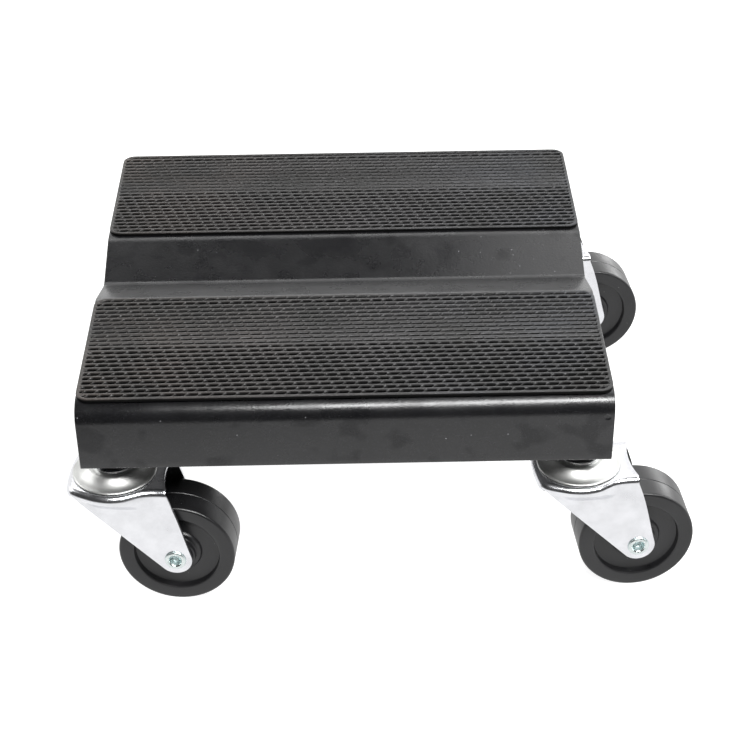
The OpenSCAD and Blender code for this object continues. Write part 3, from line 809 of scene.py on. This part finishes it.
def plan_point(i):
    """A smooth curve through PLAN, and its outward direction, at column i."""
    last = len(PLAN) - 1
    k = min(i // SUBSTEPS, last - 1)
    t = i / SUBSTEPS - k
    p0 = Vector(PLAN[k - 1]) if k else Vector((PLAN[1][0], -PLAN[1][1]))
    p1, p2 = Vector(PLAN[k]), Vector(PLAN[k + 1])
    p3 = Vector(PLAN[k + 2]) if k + 2 <= last else 2 * p2 - p1
    m1, m2 = (p2 - p0) / 2, (p3 - p1) / 2
    at = ((2 * t**3 - 3 * t**2 + 1) * p1 + (t**3 - 2 * t**2 + t) * m1
          + (3 * t**2 - 2 * t**3) * p2 + (t**3 - t**2) * m2)
    go = ((6 * t**2 - 6 * t) * p1 + (3 * t**2 - 4 * t + 1) * m1
          + (6 * t - 6 * t**2) * p2 + (3 * t**2 - 2 * t) * m2)
    go.normalize()
    return at, Vector((-go.y, go.x))


print(f"fork plan: {PLAN[-1][0] - PLAN[0][0]:.1f} mm long, {2 * max(y for _, y in PLAN):.0f} mm wide")


# %% Forks
def fork(caster):
    columns = (len(PLAN) - 1) * SUBSTEPS
    nose = NOSE_POINTS * SUBSTEPS
    axle = Vector((caster.trail, caster.axle_z))
    rows = SWELL_ROWS + LEG_ROWS
    roll_z = FORK_TOP - FORK_ROLL

    def race(point):
        return Vector((*(point.normalized() * RACE_R), FORK_TOP))

    def top(i, j):
        at, out = plan_point(i)
        end = at - out * FORK_ROLL
        return race(end).lerp(Vector((*end, FORK_TOP)), j / TOP_ROWS) * MM

    def tail(i, j):
        y = (FORK_HALF_W - FORK_ROLL) * (1 - i / TAIL_COLUMNS)
        reach = PLAN[-1][0] - TAIL_MIDDLE_X
        end = Vector((TAIL_MIDDLE_X + reach * (y / (FORK_HALF_W - FORK_ROLL)) ** 2, y))
        return race(end).lerp(Vector((*end, FORK_TOP)), j / TOP_ROWS) * MM

    def roll(i, j):
        at, out = plan_point(i)
        angle = math.pi / 2 * j / ROLL_ROWS
        flat = at - out * FORK_ROLL * (1 - math.sin(angle))
        return Vector((*flat, roll_z + FORK_ROLL * math.cos(angle))) * MM

    def lip(i, j):
        at, _ = plan_point(i)
        return Vector((*at, roll_z - LIP * j)) * MM

    def leg(i, j):
        at, _ = plan_point(nose + i)
        share = i / (columns - nose)
        first, last = tip_turns()
        turn = first + (last - first) * share
        foot = axle + TIP_R * Vector((math.cos(turn), math.sin(turn)))
        head = Vector((at.x, roll_z))
        if j == 0:
            down = 0.0
        elif j <= SWELL_ROWS:
            down = (LIP + (SWELL_H - LIP) * (j - 1) / (SWELL_ROWS - 1)) / (roll_z - foot.y)
        else:
            start = SWELL_H / (roll_z - foot.y)
            down = start + (1 - start) * (j - SWELL_ROWS) / LEG_ROWS
        spot = head.lerp(foot, down)
        spot.x += TAIL_BOW * share ** 4 * 4 * down * (1 - down) ** 2
        swell = (at.y - FORK_HALF_W) * (1 - ease((roll_z - spot.y) / SWELL_H))
        return Vector((spot.x, FORK_HALF_W + swell, spot.y)) * MM

    def tip_turns():
        """Where the leg's two straight edges touch its round tip."""
        turns = []
        for x, sign in ((plan_point(nose)[0].x, 1), (PLAN[-1][0], -1)):
            away = Vector((x, roll_z)) - axle
            turns.append(math.atan2(away.y, away.x) + sign * math.acos(TIP_R / away.length))
        return turns[0], turns[1] + 2 * math.pi

    def from_axle(vert):
        return math.hypot(vert.co.x / MM - axle.x, vert.co.z / MM - axle.y)

    def in_bore(edge):
        return all(from_axle(vert) < BORE_R + 0.2 for vert in edge.verts)

    def is_inside(vert):
        under = vert.normal.z < -0.7 and vert.co.z / MM > FORK_TOP - FORK_T - 1.5
        return under or vert.normal.y * vert.co.y < -0.5 * abs(vert.co.y)

    mesh = bmesh.new()
    patch(mesh, columns, TOP_ROWS, top)
    patch(mesh, TAIL_COLUMNS, TOP_ROWS, tail)
    patch(mesh, columns, ROLL_ROWS, roll)
    patch(mesh, nose, 1, lip)
    patch(mesh, columns - nose, rows, leg)
    bored = [face for face in mesh.faces if min(from_axle(vert) for vert in face.verts) < BORE_R]
    bmesh.ops.delete(mesh, geom=bored, context="FACES")
    for vert in mesh.verts:
        if vert.is_boundary and from_axle(vert) < TIP_R - 0.5:
            pull = BORE_R / from_axle(vert)
            vert.co.x = axle.x * MM + pull * (vert.co.x - axle.x * MM)
            vert.co.z = axle.y * MM + pull * (vert.co.z - axle.y * MM)
    everything = mesh.verts[:] + mesh.edges[:] + mesh.faces[:]
    bmesh.ops.mirror(mesh, geom=everything, matrix=Matrix.Identity(4), merge_dist=1e-6, axis="Y")
    bmesh.ops.remove_doubles(mesh, verts=mesh.verts[:], dist=2e-6)
    bmesh.ops.recalc_face_normals(mesh, faces=mesh.faces[:])
    highest = max(mesh.faces, key=lambda face: face.calc_center_median().z)
    if highest.normal.z < 0:
        bmesh.ops.reverse_faces(mesh, faces=mesh.faces[:])
    bmesh.ops.solidify(mesh, geom=mesh.faces[:], thickness=FORK_T * MM)
    soften(mesh, FORK_ROUND, 2, 60, in_bore)
    bmesh.ops.recalc_face_normals(mesh, faces=mesh.faces[:])
    mesh.normal_update()
    # Painted shade: the inner face and the underside of the top are marked to be painted dark.
    painted_shade = mesh.verts.layers.float.new("painted_shade")
    for vert in mesh.verts:
        vert[painted_shade] = float(is_inside(vert))
    return finish_piece(f"fork_{caster.corner}_pressing", mesh, "bright_zinc",
                        f"swivel_{caster.corner}", f"fork_{caster.corner}", place=caster.kingpin)


print("forks:", [fork(caster) for caster in casters], "faces")

# %% [markdown]
# ## Cups and rivets
# Over each crown sits a pressed cup, which holds the upper balls down. Its top is flat, its
# skirt flares out in a soft curve and its rim is rolled. The axle is a rivet with a cup
# in each end, flattened over the leg by a press. Both are spun from an outline. The rivet's
# cup and the edge of its flange are marked for painted shade, which paints them darker.

# %% Cups and rivets
CUP_R, CUP_BORE_R, CUP_H, CUP_T = 22.4, 6.0, 5.6, 1.3
CUP_STEPS, RIVET_STEPS = 120, 64
RIVET_R, RIVET_FLANGE_T, RIVET_CUP_R, RIVET_CUP_DEPTH, AXLE_R = 5.75, 1.2, 3.0, 4.0, 4.0


def cup(caster):
    low = FORK_TOP + RACE_GAP
    outline = [
        (CUP_BORE_R, CUP_H), (12.9, CUP_H), (13.7, CUP_H - 0.1), (14.4, CUP_H - 0.4),
        (15.3, CUP_H - 1.15), (16.6, CUP_H - 2.3), (18.2, CUP_H - 3.4), (19.8, CUP_H - 4.15),
        (20.9, 1.2), (21.5, 1.1), (22.0, 0.95), (22.3, 0.65), (CUP_R, 0.3), (22.2, 0.05),
        (21.8, 0.0), (21.2, 0.0), (20.4, 0.35), (18.9, 0.9), (17.4, 1.6), (15.7, 2.9), (14.5, 4.0),
        (13.6, CUP_H - CUP_T), (CUP_BORE_R, CUP_H - CUP_T), (CUP_BORE_R, CUP_H),
    ]
    mesh = bmesh.new()
    lathe(mesh, [(r, low + h) for r, h in outline], CUP_STEPS)
    return finish_piece(f"cup_{caster.corner}_pressing", mesh, "bright_zinc", "deck",
                        f"upper_cup_{caster.corner}", place=caster.kingpin, smooth=50, look="cup_zinc")


def rivet(caster):
    end = FORK_HALF_W + RIVET_FLANGE_T
    deepest = end - RIVET_CUP_DEPTH
    half = [
        (0, deepest - 0.3), (1.6, deepest - 0.2), (2.5, deepest + 0.15), (2.95, deepest + 0.8),
        (3.1, end - 1.6), (3.35, end - 0.5), (3.8, end - 0.08), (4.2, end), (4.9, end - 0.06),
        (5.4, end - 0.25), (5.68, end - 0.55), (RIVET_R, end - 0.85), (5.6, FORK_HALF_W),
        (AXLE_R, FORK_HALF_W),
    ]
    mesh = bmesh.new()
    lathe(mesh, half + [(r, -h) for r, h in reversed(half)], RIVET_STEPS)
    # Painted shade: the flange's outer edge and the bottom of each cup are marked to be painted darker.
    painted_shade = mesh.verts.layers.float.new("painted_shade")
    for vert in mesh.verts:
        out, deep = vert.co.xy.length / MM, end - abs(vert.co.z) / MM
        vert[painted_shade] = float(out > RIVET_R - 0.1 or (out < RIVET_CUP_R + 0.2 and deep > 1))
    return finish_piece(f"rivet_{caster.corner}_turned", mesh, "rivet_zinc", f"swivel_{caster.corner}",
                        f"axle_rivet_{caster.corner}", place=caster.axle, smooth=40)


print("cups:", [cup(caster) for caster in casters], "rivets:", [rivet(caster) for caster in casters])

# %% [markdown]
# ## The end
# The last step prints that the script is done.

# %% Finish
print("done")
